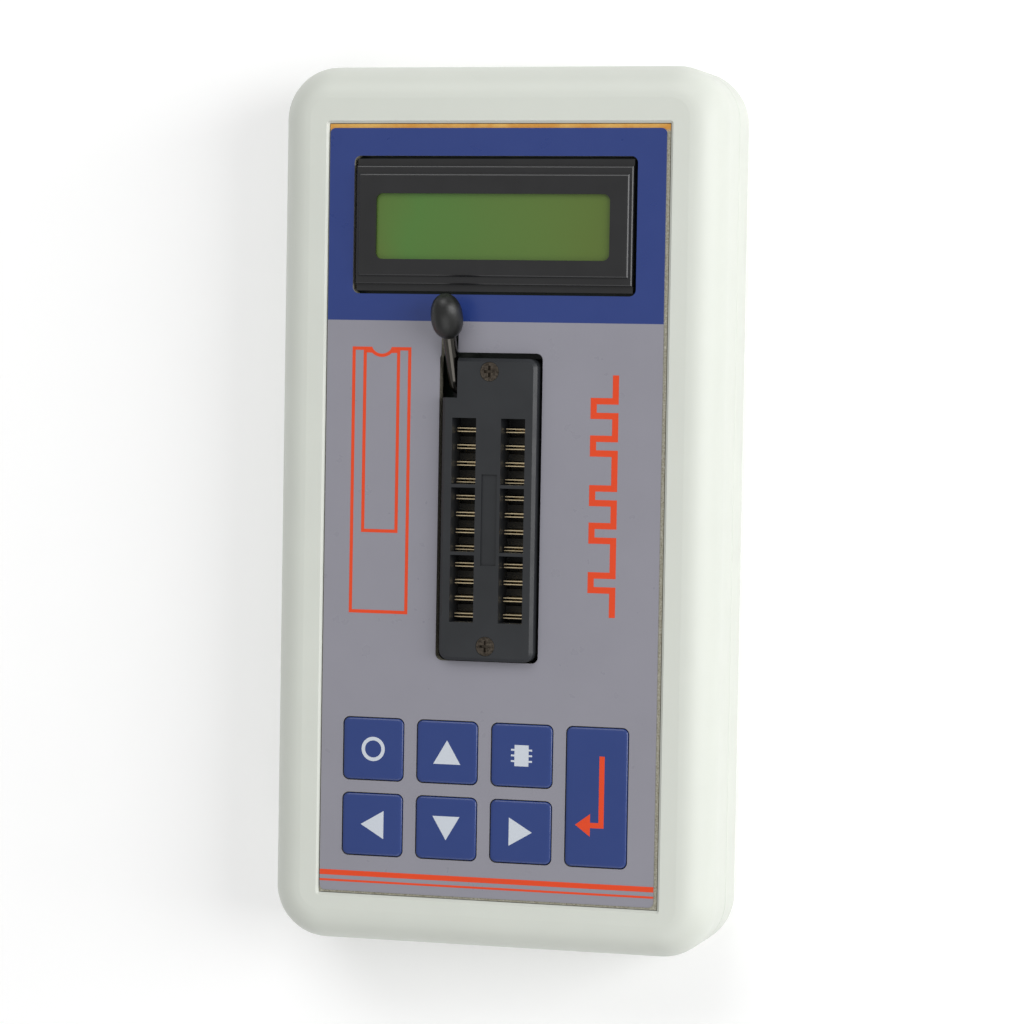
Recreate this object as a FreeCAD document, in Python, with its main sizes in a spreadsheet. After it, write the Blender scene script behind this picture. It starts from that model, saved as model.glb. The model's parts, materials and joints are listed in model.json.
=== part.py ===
import FreeCAD, Part
import math
import os
import re
import Sketcher
from FreeCAD import Placement, Rotation, Vector

# A hand-held component tester lying on its back. +Z leaves the front panel, +Y points to the display end and
# +X to the right. The origin is the middle of the back face. All sizes are in millimetres.

DIMENSIONS = {
    # case
    "case_width": 69.0,
    "case_length": 133.3,
    "case_height": 22.0,
    "case_corner": 8.0,
    "top_edge_round": 5.0,
    "bottom_edge_round": 4.5,
    "side_wall": 2.2,
    "floor_wall": 2.6,
    "seam_level": 10.2,
    "seam_chamfer": 0.3,
    "lip_height": 1.5,
    "lip_inset": 1.2,
    "lip_play": 0.1,
    "lip_root": 1.0,
    "boss_x": 29.1,
    "boss_y": 58.0,
    "boss_radius": 2.7,
    # case screws
    "screw_radius": 1.1,
    "screw_hole_radius": 1.12,
    "screw_head_radius": 2.1,
    "screw_head_height": 1.6,
    "screw_seat_depth": 2.2,
    "screw_seat_radius": 2.4,
    "screw_end_level": 15.0,
    "screw_end_room": 0.5,
    "case_cross_width": 0.45,
    "case_cross_length": 2.4,
    "case_cross_depth": 0.8,
    # front panel: circuit board with a printed film on it
    "panel_width": 53.0,
    "panel_length": 116.88,
    "panel_x": 0.05,
    "panel_y": -0.64,
    "panel_level": 20.0,
    "panel_thickness": 1.6,
    "panel_play": 0.1,
    "rim_bevel": 0.38,
    "rim_reach": 1.0,
    "ledge_width": 1.6,
    "ledge_thickness": 1.6,
    "film_width": 52.4,
    "film_length": 115.9,
    "film_x": -0.15,
    "film_y": -0.78,
    "film_corner": 0.8,
    "film_thickness": 0.2,
    "opening_corner": 1.0,
    # keys and the snap domes under them
    "key_width": 9.45,
    "key_length": 9.4,
    "key_corner": 0.9,
    "key_pitch_x": 11.7,
    "key_pitch_y": 11.53,
    "key_first_x": -18.035,
    "key_top_y": -36.886,
    "key_thickness": 0.7,
    "key_proud": 0.15,
    "key_play": 0.15,
    "key_edge_round": 0.25,
    "key_well_depth": 0.9,
    "dome_radius": 3.9,
    "dome_top_radius": 1.4,
    "dome_sheet": 0.12,
    "dome_rise": 0.5,
    # display
    "display_x": -0.37,
    "display_y": 42.6,
    "display_opening_width": 44.16,
    "display_opening_length": 20.8,
    "bezel_width": 43.1,
    "bezel_length": 19.9,
    "bezel_base_level": 18.7,
    "bezel_flange_level": 21.6,
    "bezel_step_level": 22.3,
    "bezel_step_length": 17.9,
    "bezel_step_round": 0.3,
    "bezel_top_level": 22.7,
    "bezel_raised_length": 15.5,
    "bezel_bevel": 0.35,
    "bezel_end_round": 0.5,
    "bezel_wall": 0.5,
    "window_width": 36.4,
    "window_length": 9.9,
    "window_x": -0.45,
    "window_y": 42.37,
    "glass_thickness": 1.3,
    "display_board_width": 46.0,
    "display_board_length": 27.0,
    "display_board_thickness": 1.6,
    "header_inset": 1.6,
    "header_width": 2.4,
    "pin_width": 0.6,
    "pin_hole_radius": 0.5,
    "pin_end": 1.0,
    "pin_rise": 0.4,
    "part_gap": 0.05,
    "merge": 0.5,
    "pierce": 0.2,
    "beyond": 1.0,
    # test socket
    "socket_x": -0.175,
    "socket_y": -0.045,
    "socket_width": 14.65,
    "socket_length": 45.47,
    "socket_corner": 1.5,
    "socket_opening_x": -0.425,
    "socket_opening_y": 0.27,
    "socket_opening_width": 16.05,
    "socket_opening_length": 46.5,
    "lever_slot_x": -6.925,
    "lever_slot_width": 2.65,
    "lever_slot_end": 27.2,
    "socket_base_top": 17.5,
    "cover_top": 23.6,
    "cover_bevel": 0.5,
    "contact_first_y": 11.9,
    "contact_pitch": 2.54,
    "row_spacing": 7.62,
    "contact_width": 3.3,
    "contact_sheet": 0.13,
    "contact_cell_play": 0.1,
    "contact_gap": 0.36,
    "contact_foot_level": 16.0,
    "contact_top": 21.5,
    "tail_width": 0.5,
    "tail_thickness": 0.3,
    "tail_end": 13.2,
    "slot_width": 3.75,
    "slot_top_margin": 1.82,
    "slot_bar": 0.5,
    "slot_bar_offset": 0.76,
    "slot_bottom_margin": 0.94,
    "label_width": 2.4,
    "label_length": 13.7,
    "label_depth": 0.3,
    "label_x": 0.075,
    "label_y": -1.545,
    "bearing_shift": 4.15,
    "bearing_width": 2.0,
    "bearing_margin": 0.25,
    "slider_level": 17.6,
    "slider_thickness": 1.4,
    "slider_width": 12.1,
    "slider_play": 0.15,
    "slider_slot_margin": 0.2,
    "slider_end_margin": 2.1,
    "slider_cam_gap": 0.06,
    "slider_travel": 0.6,
    "slider_block_length": 1.25,
    "slider_block_width": 6.0,
    "slider_notch": 1.0,
    "slider_block_top": 20.2,
    "socket_screw_top_y": 20.7,
    "socket_screw_bottom_y": -20.53,
    "socket_screw_radius": 0.8,
    "socket_screw_head": 1.42,
    "socket_screw_seat": 1.2,
    "socket_screw_end": 15.8,
    "socket_cross_width": 0.4,
    "socket_cross_length": 1.7,
    "cross_sink": 0.7,
    "cross_height": 0.9,
    # lever
    "lever_x": -6.35,
    "lever_pivot_y": 17.82,
    "lever_pivot_z": 20.0,
    "lever_rest_angle": 27.0,
    "wire_radius": 1.0,
    "elbow_extra": 0.03,
    "notch_margin": 0.1,
    "notch_side_margin": 0.2,
    "shaft_end_x": 5.6,
    "shaft_play": 0.05,
    "lever_length": 12.4,
    "cam_radius": 1.35,
    "cam_room_length": 1.8,
    "cam_offset": 0.6,
    "cam_rest_angle": 240.0,
    "cam_width": 4.0,
    "knob_radius": 2.45,
    "knob_length": 7.3,
    "knob_bore_depth": 4.5,
    "knob_bore_play": 0.01,
    # boards and parts inside
    "main_board_width": 47.0,
    "main_board_length": 78.0,
    "main_board_y": 20.2,
    "main_board_level": 14.0,
    "board_thickness": 1.6,
    "post_x": 20.5,
    "post_low_y": -15.5,
    "post_high_y": 56.0,
    "post_radius": 2.6,
    "panel_header_x": 20.6,
    "panel_header_y": 20.0,
    "board_screw_radius": 0.95,
    "board_screw_head": 1.9,
    "board_screw_head_height": 1.3,
    "board_screw_depth": 6.0,
    "board_cross_length": 2.0,
    "hole_play": 0.1,
    "chip_lift": 0.12,
    "leg_width": 0.4,
    "leg_length": 1.2,
    "leg_height": 0.3,
    "leg_shift": 0.5,
    "fine_pitch": 0.8,
    "chip_pitch": 1.27,
    "crystal_round": 1.9,
    # batteries
    "cell_radius": 5.2,
    "cell_length": 43.7,
    "nub_radius": 1.9,
    "nub_length": 0.8,
    "cell_pitch": 10.7,
    "cell_first_y": -58.1,
    "cell_level": 7.95,
    "bay_half_width": 25.4,
    "bay_wall": 0.9,
    "bay_top": 12.6,
    "leaf_width": 5.0,
    "leaf_sheet": 0.3,
    "plate_size": 8.0,
    "plate_sheet": 0.3,
    "button_radius": 2.4,
    "door_half_width": 24.0,
    "door_tongue": 1.2,
    "door_tongue_low": 1.0,
    "door_top": 1.9,
    "door_inner_end": -19.9,
    "door_play": 0.15,
    "door_sunk": 0.1,
    "grip_start": 9.0,
    "grip_pitch": 1.8,
    "grip_width": 16.0,
    "grip_groove": 0.8,
    "grip_depth": 0.5,
    "bay_hole_inset": 1.0,
}

doc = FreeCAD.newDocument("component_tester")
sheet = doc.addObject("Spreadsheet::Sheet", "Dim")
for row, (alias, number) in enumerate(DIMENSIONS.items(), start=1):
    sheet.set(f"A{row}", alias)
    sheet.set(f"B{row}", str(number))
    sheet.setAlias(f"B{row}", alias)
doc.recompute()

NODES = []
TINY = 1e-6
SAME_LEVEL = 1e-4


# ---------------------------------------------------------------- helpers

def linked(text):
    """An expression with every dimension's name pointed at the spreadsheet."""
    return re.sub(r"[a-z][a-z0-9_]*", r"Dim.\g<0>", str(text))


def value(text):
    """The number that an expression of dimensions gives."""
    result = sheet.evalExpression(linked(text))
    return float(getattr(result, "Value", result))


def keep(item, label):
    """Marks an object as one sub-part, written to parts/LABEL.step."""
    item.Label = label
    NODES.append(item)
    return item


def set_place(item, x="0", y="0", z="0"):
    item.setExpression("Placement.Base.x", linked(x))
    item.setExpression("Placement.Base.y", linked(y))
    item.setExpression("Placement.Base.z", linked(z))


def block(name, low, size):
    """A box from its lowest corner, both given as three expressions."""
    item = doc.addObject("Part::Box", name)
    for side, length in zip(("Length", "Width", "Height"), size):
        item.setExpression(side, linked(length))
    set_place(item, *low)
    return item


def centred_block(name, x, y, low_z, width, length, height):
    """A box centred on x and y, standing on low_z."""
    low = (f"{x} - ({width}) / 2", f"{y} - ({length}) / 2", low_z)
    return block(name, low, (width, length, height))


AXIS_TURNS = {
    "z": Rotation(),
    "x": Rotation(Vector(0, 1, 0), 90),
}


def rod(name, radius, height, x, y, z, along="z"):
    """A cylinder that starts at x, y, z and runs along +X or +Z."""
    item = doc.addObject("Part::Cylinder", name)
    item.setExpression("Radius", linked(radius))
    item.setExpression("Height", linked(height))
    item.Placement = Placement(Vector(), AXIS_TURNS[along])
    set_place(item, x, y, z)
    return item


def joined(name, pieces):
    item = doc.addObject("Part::MultiFuse", name)
    item.Shapes = pieces
    item.Refine = True
    return item


def less(name, base, tool):
    item = doc.addObject("Part::Cut", name)
    item.Base = base
    item.Tool = tool
    return item


def group(name, pieces):
    """Several separate solids that share one node."""
    item = doc.addObject("Part::Compound", name)
    item.Links = pieces
    return item


def new_body(name):
    body = doc.addObject("PartDesign::Body", name)
    body.AllowCompound = True
    return body


def new_sketch(body, name, plane="XY_Plane", offset="0"):
    """A sketch on one of the body's own origin planes, lifted by offset along its normal."""
    sketch = body.newObject("Sketcher::SketchObject", name)
    origin_plane = next(item for item in body.Origin.OriginFeatures if item.Role == plane)
    sketch.AttachmentSupport = [(origin_plane, "")]
    sketch.MapMode = "FlatFace"
    sketch.setExpression("AttachmentOffset.Base.z", linked(offset))
    return sketch


def bound(sketch, constraint, text):
    """Adds a length constraint and binds it to an expression."""
    index = sketch.addConstraint(constraint)
    sketch.setExpression(f"Constraints[{index}]", linked(text))


def signed_distance(sketch, direction, geometry, point, text):
    """Places a point at a signed distance from the sketch's origin."""
    number = value(text)
    if abs(number) < TINY:
        sketch.addConstraint(Sketcher.Constraint(direction, -1, 1, geometry, point, 0.0))
    elif number > 0:
        bound(sketch, Sketcher.Constraint(direction, -1, 1, geometry, point, number), text)
    else:
        bound(sketch, Sketcher.Constraint(direction, geometry, point, -1, 1, -number), f"-({text})")


def close_outline(sketch, first, count):
    """Joins count lines, the first of them numbered first, end to start."""
    for index in range(count):
        after = first + (index + 1) % count
        sketch.addConstraint(Sketcher.Constraint("Coincident", first + index, 2, after, 1))


def add_rectangle(sketch, x, y, width, length):
    """A rectangle centred on x and y."""
    low_x, low_y = value(f"{x} - ({width}) / 2"), value(f"{y} - ({length}) / 2")
    high_x, high_y = low_x + value(width), low_y + value(length)
    corners = [
        Vector(low_x, low_y),
        Vector(high_x, low_y),
        Vector(high_x, high_y),
        Vector(low_x, high_y),
    ]
    first = sketch.GeometryCount
    for index in range(4):
        sketch.addGeometry(Part.LineSegment(corners[index], corners[(index + 1) % 4]))
    close_outline(sketch, first, 4)
    for index in (0, 2):
        sketch.addConstraint(Sketcher.Constraint("Horizontal", first + index))
        sketch.addConstraint(Sketcher.Constraint("Vertical", first + index + 1))
    bound(sketch, Sketcher.Constraint("DistanceX", first, 1, first, 2, value(width)), width)
    bound(sketch, Sketcher.Constraint("DistanceY", first + 1, 1, first + 1, 2, value(length)), length)
    signed_distance(sketch, "DistanceX", first, 1, f"{x} - ({width}) / 2")
    signed_distance(sketch, "DistanceY", first, 1, f"{y} - ({length}) / 2")


def add_rounded(sketch, x, y, width, length, radius):
    """A rectangle with round corners, centred on x and y."""
    mid_x, mid_y, corner = value(x), value(y), value(radius)
    half_x, half_y = value(width) / 2, value(length) / 2
    first = sketch.GeometryCount
    turns = ((1, -1, 270), (1, 1, 0), (-1, 1, 90), (-1, -1, 180))
    for side_x, side_y, start in turns:
        centre = Vector(mid_x + side_x * (half_x - corner), mid_y + side_y * (half_y - corner), 0)
        circle = Part.Circle(centre, Vector(0, 0, 1), corner)
        sketch.addGeometry(Part.ArcOfCircle(circle, math.radians(start), math.radians(start + 90)))
    for index in range(4):
        one = sketch.Geometry[first + index]
        two = sketch.Geometry[first + (index + 1) % 4]
        sketch.addGeometry(Part.LineSegment(one.EndPoint, two.StartPoint))
    for index in range(4):
        line = first + 4 + index
        sketch.addConstraint(Sketcher.Constraint("Tangent", first + index, 2, line, 1))
        sketch.addConstraint(Sketcher.Constraint("Tangent", line, 2, first + (index + 1) % 4, 1))
    for index in (0, 2):
        sketch.addConstraint(Sketcher.Constraint("Vertical", first + 4 + index))
        sketch.addConstraint(Sketcher.Constraint("Horizontal", first + 5 + index))
    for index in (1, 2, 3):
        sketch.addConstraint(Sketcher.Constraint("Equal", first, first + index))
    bound(sketch, Sketcher.Constraint("Radius", first, corner), radius)
    reach_x, reach_y = f"({width}) - 2 * ({radius})", f"({length}) - 2 * ({radius})"
    bound(sketch, Sketcher.Constraint("DistanceX", first + 3, 3, first, 3, value(reach_x)), reach_x)
    bound(sketch, Sketcher.Constraint("DistanceY", first, 3, first + 1, 3, value(reach_y)), reach_y)
    signed_distance(sketch, "DistanceX", first, 3, f"{x} + ({width}) / 2 - ({radius})")
    signed_distance(sketch, "DistanceY", first, 3, f"{y} - ({length}) / 2 + ({radius})")


def add_circle(sketch, x, y, radius):
    index = sketch.addGeometry(Part.Circle(Vector(value(x), value(y)), Vector(0, 0, 1), value(radius)))
    bound(sketch, Sketcher.Constraint("Radius", index, value(radius)), radius)
    signed_distance(sketch, "DistanceX", index, 3, x)
    signed_distance(sketch, "DistanceY", index, 3, y)


def add_polygon(sketch, points):
    """A closed outline through points, each given as two expressions."""
    corners = [Vector(value(x), value(y)) for x, y in points]
    first = sketch.GeometryCount
    count = len(points)
    for index in range(count):
        sketch.addGeometry(Part.LineSegment(corners[index], corners[(index + 1) % count]))
    close_outline(sketch, first, count)
    for index, (x, y) in enumerate(points):
        signed_distance(sketch, "DistanceX", first + index, 1, x)
        signed_distance(sketch, "DistanceY", first + index, 1, y)


def pad(body, sketch, length):
    """Adds material from the sketch along its normal."""
    feature = body.newObject("PartDesign::Pad", sketch.Name + "_pad")
    feature.Profile = sketch
    feature.setExpression("Length", linked(length))
    body.Tip = feature
    doc.recompute()
    return feature


def pocket(body, sketch, length, upward=False):
    """Cuts from the sketch downward, or upward, and proves that something was cut."""
    before = body.Shape.Volume
    feature = body.newObject("PartDesign::Pocket", sketch.Name + "_pocket")
    feature.Profile = sketch
    feature.Reversed = upward
    feature.setExpression("Length", linked(length))
    body.Tip = feature
    doc.recompute()
    if not body.Shape.Volume < before - TINY:
        raise RuntimeError(f"{feature.Name} cut nothing")
    return feature


def edges_of(shape, wanted):
    """Names of the edges for which wanted(edge) is true."""
    return [f"Edge{index}" for index, edge in enumerate(shape.Edges, start=1) if wanted(edge)]


def lies_at(level):
    """True for an edge whose box is flat at that height."""
    def test(edge):
        box = edge.BoundBox
        return abs(box.ZMin - level) < SAME_LEVEL and abs(box.ZMax - level) < SAME_LEVEL
    return test


def within(half_x, half_y, test):
    """Narrows an edge test to the edges that lie inside a central rectangle."""
    def narrowed(edge):
        centre = edge.BoundBox.Center
        return test(edge) and abs(centre.x) < half_x and abs(centre.y) < half_y
    return narrowed


def dress(body, kind, size, wanted):
    """Rounds (Fillet) or bevels (Chamfer) the chosen edges of a body."""
    base = body.Tip
    names = edges_of(base.Shape, wanted)
    if not names:
        raise RuntimeError(f"{body.Name}: no edge to dress")
    feature = body.newObject(f"PartDesign::{kind}", f"{body.Name}_{kind}_{len(body.Group)}")
    feature.Base = (base, names)
    prop = "Radius" if kind == "Fillet" else "Size"
    feature.setExpression(prop, linked(size))
    body.Tip = feature
    doc.recompute()
    return feature


# ---------------------------------------------------------------- positions used by several sub-parts

BOSSES = [(sx + "boss_x", sy + "boss_y") for sx in ("", "-") for sy in ("", "-")]
POSTS = [(sx + "post_x", y) for sx in ("", "-") for y in ("post_low_y", "post_high_y")]
CONTACT_ROWS = 12
CONTACTS_PER_WINDOW = 4
COLUMNS = ("socket_x - row_spacing / 2", "socket_x + row_spacing / 2")
CONTACT_YS = [f"contact_first_y - {index} * contact_pitch" for index in range(CONTACT_ROWS)]
LOW_KEYS_Y = "key_top_y - key_pitch_y"
KEYS = {
    "key_circle": (0, "key_top_y", "key_length"),
    "key_up": (1, "key_top_y", "key_length"),
    "key_chip": (2, "key_top_y", "key_length"),
    "key_left": (0, LOW_KEYS_Y, "key_length"),
    "key_down": (1, LOW_KEYS_Y, "key_length"),
    "key_right": (2, LOW_KEYS_Y, "key_length"),
    "key_enter": (3, "key_top_y - key_pitch_y / 2", "key_length + key_pitch_y"),
}
CELLS = [f"cell_first_y + {index} * cell_pitch" for index in range(4)]
LAST_CONTACT_Y = f"(contact_first_y - {CONTACT_ROWS - 1} * contact_pitch)"
FILM_LEVEL = "panel_level + panel_thickness"
FILM_TOP = "panel_level + panel_thickness + film_thickness"
BOARD_TOP = "(main_board_level + board_thickness)"
DISPLAY_PIN_Y = "(display_y - display_board_length / 2 + header_inset)"
DISPLAY_PINS = 14
PANEL_PINS = 8
GRIP_GROOVES = 6


def key_x(column):
    return f"key_first_x + {column} * key_pitch_x"


def shell_blank(name, level, height, rounded_level, radius):
    """The outer rounded block of one half of the case."""
    body = new_body(name)
    outline = new_sketch(body, f"{name}_outline", offset=level)
    add_rounded(outline, "0", "0", "case_width", "case_length", "case_corner")
    pad(body, outline, height)
    dress(body, "Fillet", radius, lies_at(value(rounded_level)))
    dress(body, "Chamfer", "seam_chamfer", lies_at(value("seam_level")))
    return body


# ---------------------------------------------------------------- case

def build_top_shell():
    body = shell_blank("top_shell", "seam_level", "case_height - seam_level", "case_height",
                       "top_edge_round")
    hollow = new_sketch(body, "top_hollow", offset="seam_level")
    add_rounded(hollow, "0", "0", "case_width - 2 * side_wall", "case_length - 2 * side_wall",
                "case_corner - side_wall")
    pocket(body, hollow, "panel_level - ledge_thickness - seam_level", upward=True)
    rebate = new_sketch(body, "top_rebate", offset="seam_level")
    inset = "lip_inset - lip_play"
    add_rounded(rebate, "0", "0", f"case_width - 2 * ({inset})", f"case_length - 2 * ({inset})",
                f"case_corner - ({inset})")
    pocket(body, rebate, "lip_height + lip_play", upward=True)
    bosses = new_sketch(body, "top_bosses", offset="seam_level")
    for x, y in BOSSES:
        add_circle(bosses, x, y, "boss_radius")
    pad(body, bosses, "panel_level - ledge_thickness - seam_level + part_gap")
    recess = new_sketch(body, "panel_recess", offset="case_height")
    recess_width, recess_length = "panel_width + 2 * panel_play", "panel_length + 2 * panel_play"
    add_rounded(recess, "panel_x", "panel_y", recess_width, recess_length, "panel_play")
    pocket(body, recess, "case_height - panel_level")
    reach_x, reach_y = value(f"({recess_width}) / 2 + rim_reach"), value(f"({recess_length}) / 2 + rim_reach")
    dress(body, "Chamfer", "rim_bevel", within(reach_x, reach_y, lies_at(value("case_height"))))
    mouth = new_sketch(body, "panel_mouth", offset="case_height")
    add_rectangle(mouth, "panel_x", "panel_y", "panel_width - 2 * ledge_width",
                  "panel_length - 2 * ledge_width")
    pocket(body, mouth, "case_height - panel_level + ledge_thickness")
    holes = new_sketch(body, "top_screw_holes", offset="seam_level")
    for x, y in BOSSES:
        add_circle(holes, x, y, "screw_hole_radius")
    pocket(body, holes, "screw_end_level - seam_level + screw_end_room", upward=True)
    keep(body, "top_shell")


def build_bottom_shell():
    body = shell_blank("bottom_shell", "0", "seam_level", "0", "bottom_edge_round")
    hollow = new_sketch(body, "bottom_hollow", offset="seam_level")
    add_rounded(hollow, "0", "0", "case_width - 2 * side_wall", "case_length - 2 * side_wall",
                "case_corner - side_wall")
    pocket(body, hollow, "seam_level - floor_wall")
    lip = new_sketch(body, "case_lip", offset="seam_level - lip_root")
    add_rounded(lip, "0", "0", "case_width - 2 * lip_inset", "case_length - 2 * lip_inset",
                "case_corner - lip_inset")
    add_rounded(lip, "0", "0", "case_width - 2 * side_wall", "case_length - 2 * side_wall",
                "case_corner - side_wall")
    pad(body, lip, "lip_height + lip_root")
    posts = new_sketch(body, "bottom_posts", offset="floor_wall - merge")
    for x, y in POSTS:
        add_circle(posts, x, y, "post_radius")
    pad(body, posts, "main_board_level - floor_wall + merge")
    bosses = new_sketch(body, "bottom_bosses", offset="floor_wall - merge")
    for x, y in BOSSES:
        add_circle(bosses, x, y, "boss_radius")
    pad(body, bosses, "seam_level - floor_wall + merge")
    bay = new_sketch(body, "bay_walls", offset="floor_wall - merge")
    middle = "(door_inner_end + door_play + bay_wall - case_length / 2 + side_wall) / 2"
    reach = "(door_inner_end + door_play + bay_wall + case_length / 2 - side_wall)"
    for side in ("", "-"):
        add_rectangle(bay, f"{side}(bay_half_width + bay_wall / 2)", middle, "bay_wall", reach)
    pad(body, bay, "bay_top - floor_wall + merge")
    partition = new_sketch(body, "bay_partition", offset="floor_wall - merge")
    add_rectangle(partition, "0", "door_inner_end + door_play + bay_wall / 2",
                  "2 * bay_half_width + pierce", "bay_wall")
    pad(body, partition, "bay_top - floor_wall + merge")
    door_hole = new_sketch(body, "door_hole", offset="0")
    hole_length = "case_length / 2 + door_inner_end + door_play + beyond"
    hole_y = "(door_inner_end + door_play - case_length / 2 - beyond) / 2"
    add_rectangle(door_hole, "0", hole_y, "2 * (door_half_width + door_play)", hole_length)
    pocket(body, door_hole, "door_top + door_play", upward=True)
    bay_hole = new_sketch(body, "bay_hole", offset="0")
    add_rectangle(bay_hole, "0", "(door_inner_end - case_length / 2 + side_wall) / 2",
                  "2 * (door_half_width - bay_hole_inset)",
                  "case_length / 2 - side_wall + door_inner_end - bay_hole_inset")
    pocket(body, bay_hole, "floor_wall + pierce", upward=True)
    rails = new_sketch(body, "door_rails", offset="door_tongue_low - door_play")
    add_rectangle(rails, "0", hole_y, "2 * (door_half_width + door_tongue + door_play)", hole_length)
    pocket(body, rails, "door_top - door_tongue_low + 2 * door_play", upward=True)
    seats = new_sketch(body, "screw_seats", offset="0")
    for x, y in BOSSES:
        add_circle(seats, x, y, "screw_seat_radius")
    pocket(body, seats, "screw_seat_depth", upward=True)
    holes = new_sketch(body, "bottom_screw_holes", offset="0")
    for x, y in BOSSES:
        add_circle(holes, x, y, "screw_hole_radius")
    pocket(body, holes, "seam_level + pierce", upward=True)
    pilots = new_sketch(body, "post_pilots", offset="main_board_level")
    for x, y in POSTS:
        add_circle(pilots, x, y, "board_screw_radius + part_gap")
    pocket(body, pilots, "board_screw_depth + pierce")
    keep(body, "bottom_shell")


def door_blank():
    """The door's plate, cut from the same rounded block as the bottom of the case."""
    body = new_body("battery_door")
    outline = new_sketch(body, "door_outline", offset="0")
    add_rounded(outline, "0", "0", "case_width", "case_length", "case_corner")
    pad(body, outline, "case_height / 2")
    dress(body, "Fillet", "bottom_edge_round", lies_at(0.0))
    above = new_sketch(body, "door_above", offset="door_top - door_sunk")
    add_rectangle(above, "0", "0", "case_width + beyond", "case_length + beyond")
    pocket(body, above, "case_height", upward=True)
    behind = new_sketch(body, "door_behind", offset="0")
    add_rectangle(behind, "0", "door_inner_end + case_length / 2", "case_width + beyond", "case_length")
    pocket(body, behind, "case_height", upward=True)
    sides = new_sketch(body, "door_sides", offset="0")
    low_sides = new_sketch(body, "door_low_sides", offset="0")
    side_length = "case_length / 2 + 2 * beyond"
    for side in ("", "-"):
        add_rectangle(sides, f"{side}(door_half_width + door_tongue + case_width / 4)", "-case_length / 4",
                      "case_width / 2", side_length)
        add_rectangle(low_sides, f"{side}(door_half_width + case_width / 4)", "-case_length / 4",
                      "case_width / 2", side_length)
    pocket(body, sides, "case_height", upward=True)
    pocket(body, low_sides, "door_tongue_low - door_sunk", upward=True)
    return body


def build_battery_door():
    """A plate with side tongues that shares the case's rounded end and carries finger grooves."""
    body = door_blank()
    grooves = new_sketch(body, "door_grip", offset="0")
    for index in range(GRIP_GROOVES):
        add_rectangle(grooves, "0", f"-case_length / 2 + grip_start + {index} * grip_pitch", "grip_width",
                      "grip_groove")
    pocket(body, grooves, "grip_depth", upward=True)
    set_place(body, z="door_sunk")
    keep(body, "battery_door")


def cross_recess(name, x, y, level, width, length, depth):
    """Two crossed bars that cut the recess of a screw's head, starting at level."""
    one = centred_block(f"{name}_a", x, y, level, width, length, depth)
    two = centred_block(f"{name}_b", x, y, level, length, width, depth)
    return joined(name, [one, two])


def build_case_screws():
    """Four pan-head screws that enter from the back, each with a cross recess."""
    screws = []
    head_level = "screw_seat_depth - screw_head_height"
    for index, (x, y) in enumerate(BOSSES):
        shank = rod(f"case_shank_{index}", "screw_radius", "screw_end_level - screw_seat_depth", x, y,
                    "screw_seat_depth")
        head = rod(f"case_head_{index}", "screw_head_radius", "screw_head_height", x, y, head_level)
        whole = joined(f"case_screw_{index}", [shank, head])
        cross = cross_recess(f"case_cross_{index}", x, y, head_level, "case_cross_width",
                             "case_cross_length", "case_cross_depth")
        screws.append(less(f"case_screw_cut_{index}", whole, cross))
    keep(group("case_screws_group", screws), "case_screws")


# ---------------------------------------------------------------- front panel, film and keys

def add_panel_openings(body, prefix, level, depth, key_room):
    """Cuts the display, socket and lever openings, and windows as large as the keys need."""
    openings = new_sketch(body, f"{prefix}_openings", offset=level)
    add_rounded(openings, "display_x", "display_y", "display_opening_width", "display_opening_length",
                "opening_corner")
    add_rounded(openings, "socket_opening_x", "socket_opening_y", "socket_opening_width",
                "socket_opening_length", "opening_corner")
    pocket(body, openings, depth)
    slot = new_sketch(body, f"{prefix}_lever_slot", offset=level)
    start = "(socket_opening_y + socket_opening_length / 2 - 2 * beyond)"
    add_rectangle(slot, "lever_slot_x", f"(lever_slot_end + {start}) / 2", "lever_slot_width",
                  f"lever_slot_end - {start}")
    pocket(body, slot, depth)
    wells = new_sketch(body, f"{prefix}_key_windows", offset=level)
    for column, y, length in KEYS.values():
        add_rounded(wells, key_x(column), y, f"key_width + 2 * ({key_room})", f"{length} + 2 * ({key_room})",
                    "key_corner + key_play")
    return wells


def build_panel_board():
    body = new_body("panel_board")
    outline = new_sketch(body, "panel_outline", offset="panel_level")
    add_rectangle(outline, "panel_x", "panel_y", "panel_width", "panel_length")
    pad(body, outline, "panel_thickness")
    wells = add_panel_openings(body, "panel", FILM_LEVEL, "panel_thickness", "key_play")
    pocket(body, wells, "key_well_depth")
    keep(body, "panel_board")


def build_panel_film():
    body = new_body("panel_film")
    outline = new_sketch(body, "film_outline", offset=FILM_LEVEL)
    add_rounded(outline, "film_x", "film_y", "film_width", "film_length", "film_corner")
    pad(body, outline, "film_thickness")
    wells = add_panel_openings(body, "film", FILM_TOP, "film_thickness", "key_play")
    pocket(body, wells, "film_thickness")
    keep(body, "panel_film")


def build_keys():
    """Seven flat keys with rounded tops, each over its own snap dome."""
    for name, (column, y, length) in KEYS.items():
        body = new_body(name)
        bottom = f"{FILM_TOP} + key_proud - key_thickness"
        outline = new_sketch(body, f"{name}_outline", offset=bottom)
        add_rounded(outline, key_x(column), y, "key_width", length, "key_corner")
        pad(body, outline, "key_thickness")
        dress(body, "Fillet", "key_edge_round", lies_at(value(f"{FILM_TOP} + key_proud")))
        keep(body, name)
        dome_name = name.replace("key", "dome")
        floor = f"{FILM_LEVEL} - key_well_depth"
        outer = frustum(f"{dome_name}_outer", key_x(column), y, floor, "dome_radius", "dome_top_radius",
                        "dome_rise")
        inner = frustum(f"{dome_name}_inner", key_x(column), y, f"{floor} - dome_sheet", "dome_radius",
                        "dome_top_radius", "dome_rise")
        keep(less(dome_name, outer, inner), dome_name)


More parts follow.
